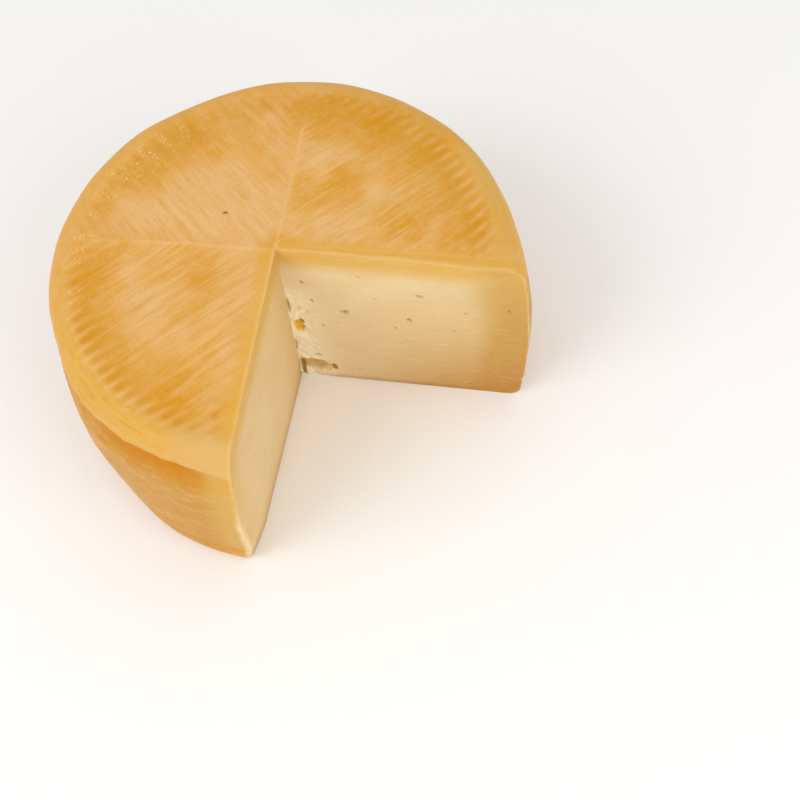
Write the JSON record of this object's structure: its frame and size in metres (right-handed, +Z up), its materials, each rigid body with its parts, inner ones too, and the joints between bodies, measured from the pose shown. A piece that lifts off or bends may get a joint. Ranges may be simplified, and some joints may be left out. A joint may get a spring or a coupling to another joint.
{
  "type": "cured sheep cheese",
  "caption": "Low round wheel of cured cheese with a ridged cross print on its flat faces and one quarter cut out, so that its pale paste shows.",
  "frame": {"origin": "centre of the wheel's round outline, on the surface that it rests on", "axes": "+Z up through the wheel's flat top; +X along the right-hand cut face, outwards from the middle; the missing quarter lies at +X, -Y"},
  "size_m": [0.2015, 0.1999, 0.0946],
  "materials": {
    "cured_rind": "cured cheese: golden to orange, slightly greasy rind with a pressed herringbone print, and pale ivory paste on the two cut faces"
  },
  "bodies": {
    "root": {"cheese_wheel": "cured_rind"}
  },
  "joints": []
}
